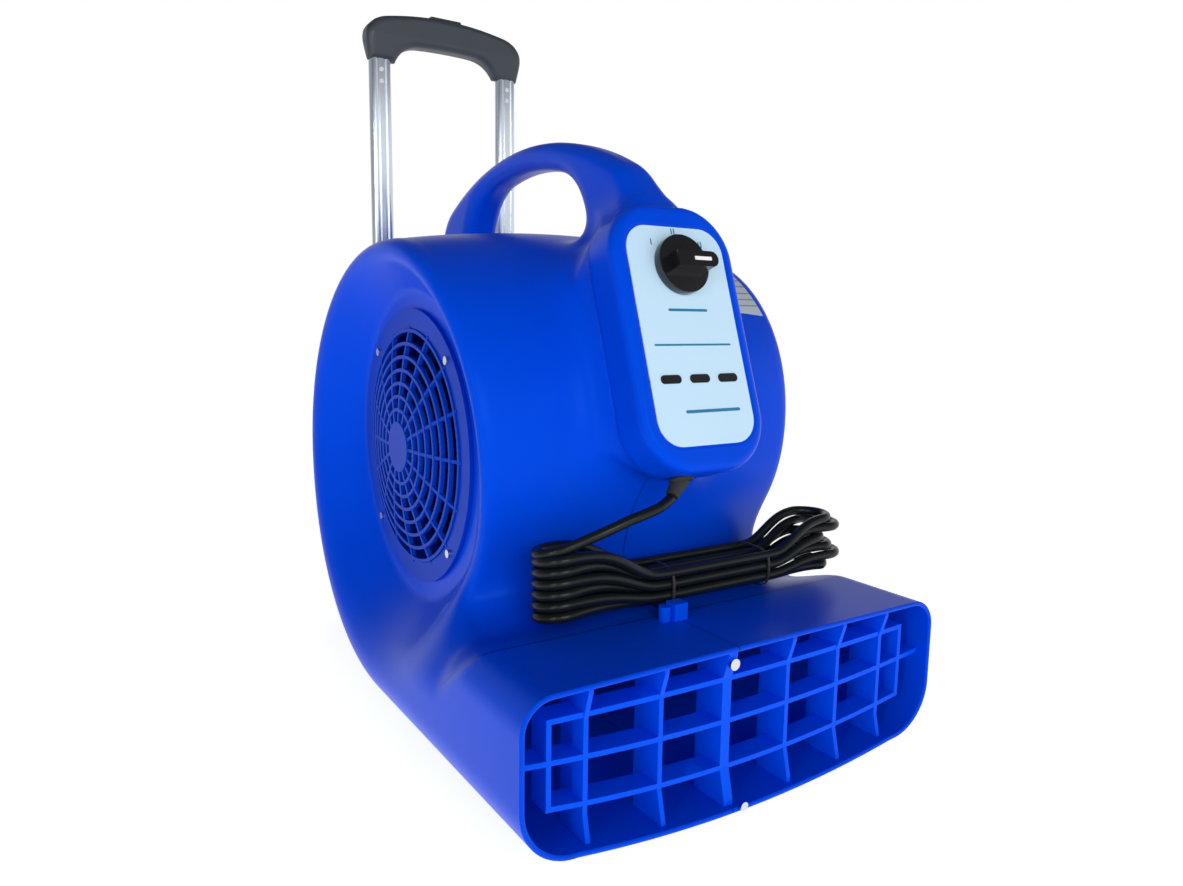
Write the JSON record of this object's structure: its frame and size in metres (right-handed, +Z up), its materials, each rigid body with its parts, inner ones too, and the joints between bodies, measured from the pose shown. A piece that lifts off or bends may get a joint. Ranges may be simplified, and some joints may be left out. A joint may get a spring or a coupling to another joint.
{
  "type": "carpet dryer air mover",
  "caption": "Floor-standing centrifugal air mover: scroll housing with domed inlet grilles, barred outlet mouth, control panel, wound cord and telescopic trolley handle.",
  "frame": {"origin": "on the floor, under the middle of the object's bounding box", "axes": "+Z up, the outlet mouth faces -Y, and +X runs along the impeller axis, towards the right-hand inlet"},
  "size_m": [0.41, 0.598, 0.7255],
  "materials": {
    "shell": "satin",
    "grille": "satin",
    "panel": "printed satin film",
    "lens": "gloss",
    "label": "matt",
    "switchgear": "matt",
    "knob": "gloss",
    "white_mark": "matt",
    "rubber": "matt",
    "tie": "satin",
    "tyre": "matt",
    "steel": "brushed",
    "aluminium": "anodised",
    "impeller": "satin",
    "lamination": "oiled",
    "winding": "varnished",
    "motor_paint": "semi gloss",
    "charcoal": "satin",
    "button": "satin"
  },
  "bodies": {
    "housing": {"left_shell": "shell", "right_shell": "shell", "outlet_grille_left": "grille", "outlet_grille_right": "grille", "inlet_grille_left": "grille", "inlet_grille_right": "grille", "grille_screws": "steel", "shell_screws": "steel", "control_box": "shell", "control_panel": "panel", "indicator_lenses": "lens", "rating_label": "label", "switch_body": "switchgear", "capacitor": "aluminium", "terminal_block": "switchgear", "cord_gland": "rubber", "power_cord": "rubber", "plug_lead": "rubber", "cord_hank": "rubber", "cord_ties": "tie", "plug": "rubber", "plug_pins": "steel", "cord_cleat": "grille", "motor_stator": "winding", "motor_can": "motor_paint", "motor_cap_left": "motor_paint", "motor_cap_right": "motor_paint", "motor_bearings": "steel", "motor_bracket": "motor_paint", "bracket_screws": "steel", "upper_bracket": "charcoal", "rear_carriage": "charcoal", "left_outer_tube": "aluminium", "right_outer_tube": "aluminium", "axle": "steel", "axle_caps": "charcoal", "front_feet": "rubber"},
    "rotor": {"blower_wheel": "impeller", "wheel_hub": "steel", "motor_shaft": "steel", "motor_rotor": "lamination"},
    "switch_lever": {"switch_knob": "knob", "knob_pointer": "white_mark"},
    "trolley_handle": {"left_inner_tube": "aluminium", "right_inner_tube": "aluminium", "tube_rivets": "steel", "grip": "charcoal", "release_spring": "steel"},
    "release": {"release_button": "button", "lock_rods": "steel"},
    "left_road_wheel": {"left_wheel": "charcoal", "left_tyre": "tyre"},
    "right_road_wheel": {"right_wheel": "charcoal", "right_tyre": "tyre"}
  },
  "joints": [
    {"name": "blower_spin", "type": "hinge", "parent": "housing", "child": "rotor", "pos_m": [0, 0.009, 0.255], "axis": [1, 0, 0], "continuous": true},
    {"name": "switch_turn", "type": "hinge", "parent": "housing", "child": "switch_lever", "pos_m": [0, -0.18245, 0.41673], "axis": [0, -0.9444, 0.3289], "range_deg": [0, 180]},
    {"name": "handle_slide", "type": "slide", "parent": "housing", "child": "trolley_handle", "axis": [0, 0, -1], "range_m": [0, 0.205]},
    {"name": "release_press", "type": "slide", "parent": "trolley_handle", "child": "release", "axis": [0, 0, -1], "range_m": [0, 0.005], "stiffness_N_per_m": 600, "springref_m": -0.003, "deforming": ["release_spring"]},
    {"name": "left_wheel_spin", "type": "hinge", "parent": "housing", "child": "left_road_wheel", "pos_m": [-0.119, 0.263, 0.036], "axis": [1, 0, 0], "continuous": true},
    {"name": "right_wheel_spin", "type": "hinge", "parent": "housing", "child": "right_road_wheel", "pos_m": [0.119, 0.263, 0.036], "axis": [1, 0, 0], "continuous": true}
  ]
}
